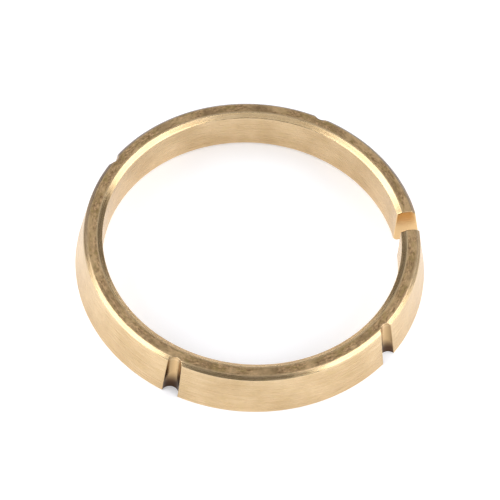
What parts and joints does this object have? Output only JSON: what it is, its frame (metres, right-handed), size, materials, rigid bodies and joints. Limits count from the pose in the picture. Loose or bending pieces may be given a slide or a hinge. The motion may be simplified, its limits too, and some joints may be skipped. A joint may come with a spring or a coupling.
{
  "type": "split key ring",
  "caption": "Turned brass split ring with a tapered outside, a sawn gap, chamfered edges and shallow round-bottomed grooves across its outside.",
  "frame": {"origin": "on the ring's axis, in the plane of its wide face, which it lies on", "axes": "+Z along the ring's axis from the wide face to the narrow face, +X out through the middle of the split, +Y to the left side"},
  "size_m": [0.032, 0.032, 0.0044],
  "materials": {
    "brass": "turned and lightly brushed, unlacquered, with a duller faced narrow end"
  },
  "bodies": {
    "rear": {"rear_arc": "brass", "left_rear_neck": "brass", "right_rear_neck": "brass"},
    "left_side": {"left_side_arc": "brass", "left_end_neck": "brass"},
    "left_end": {"left_end_arc": "brass"},
    "right_side": {"right_side_arc": "brass", "right_end_neck": "brass"},
    "right_end": {"right_end_arc": "brass"}
  },
  "joints": [
    {"name": "left_rear_flex", "type": "hinge", "parent": "rear", "child": "left_side", "pos_m": [-0.01063, 0.00954, 0.00217], "axis": [0, 0, -1], "range_deg": [-1.2, 1.9], "stiffness_Nm_per_rad": 0.1, "deforming": ["left_rear_neck"]},
    {"name": "left_end_flex", "type": "hinge", "parent": "left_side", "child": "left_end", "pos_m": [0.00795, 0.01187, 0.00217], "axis": [0, 0, -1], "range_deg": [-0.336, 0.532], "deforming": ["left_end_neck"]},
    {"name": "right_rear_flex", "type": "hinge", "parent": "rear", "child": "right_side", "pos_m": [-0.00827, -0.01164, 0.00217], "axis": [0, 0, 1], "range_deg": [-1.26, 2], "deforming": ["right_rear_neck"]},
    {"name": "right_end_flex", "type": "hinge", "parent": "right_side", "child": "right_end", "pos_m": [0.00965, -0.01053, 0.00217], "axis": [0, 0, 1], "range_deg": [-0.252, 0.399], "deforming": ["right_end_neck"]}
  ],
  "couplings": [
    {"joint": "left_end_flex", "follows": "left_rear_flex", "ratio": 0.28},
    {"joint": "right_rear_flex", "follows": "left_rear_flex", "ratio": 1.05},
    {"joint": "right_end_flex", "follows": "left_rear_flex", "ratio": 0.21}
  ]
}
